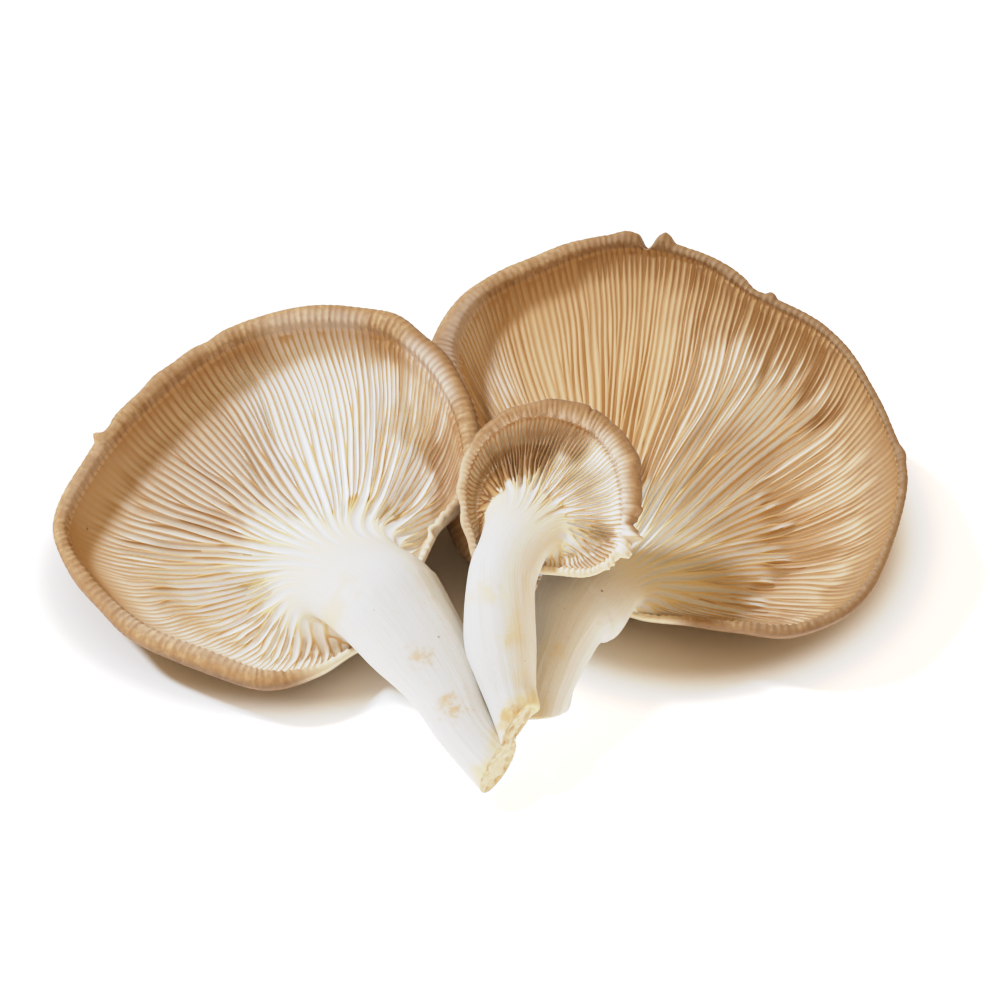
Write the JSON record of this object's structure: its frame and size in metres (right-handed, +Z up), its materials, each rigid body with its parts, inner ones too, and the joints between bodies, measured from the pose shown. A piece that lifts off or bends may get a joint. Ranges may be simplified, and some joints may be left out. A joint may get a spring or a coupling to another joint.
{
  "type": "oyster mushroom cluster",
  "caption": "Fresh cluster of pale gilled mushrooms fused at one cut base, two wide caps and one small cupped cap, lying on their caps with the gills up.",
  "frame": {"origin": "on the floor under the middle of the cluster's bounding box", "axes": "+Z up from the floor the cluster lies on, +X to the right along the row of caps, +Y away from the side that shows the gills and the cut base"},
  "size_m": [0.1623, 0.1213, 0.047],
  "materials": {
    "mushroom_flesh": "fresh mushroom flesh: cream gills and white stems with a soft matte surface, tan-brown cap skin with a faint satin sheen"
  },
  "bodies": {
    "root": {"left_mushroom": "mushroom_flesh", "right_mushroom": "mushroom_flesh", "small_mushroom": "mushroom_flesh"}
  },
  "joints": []
}
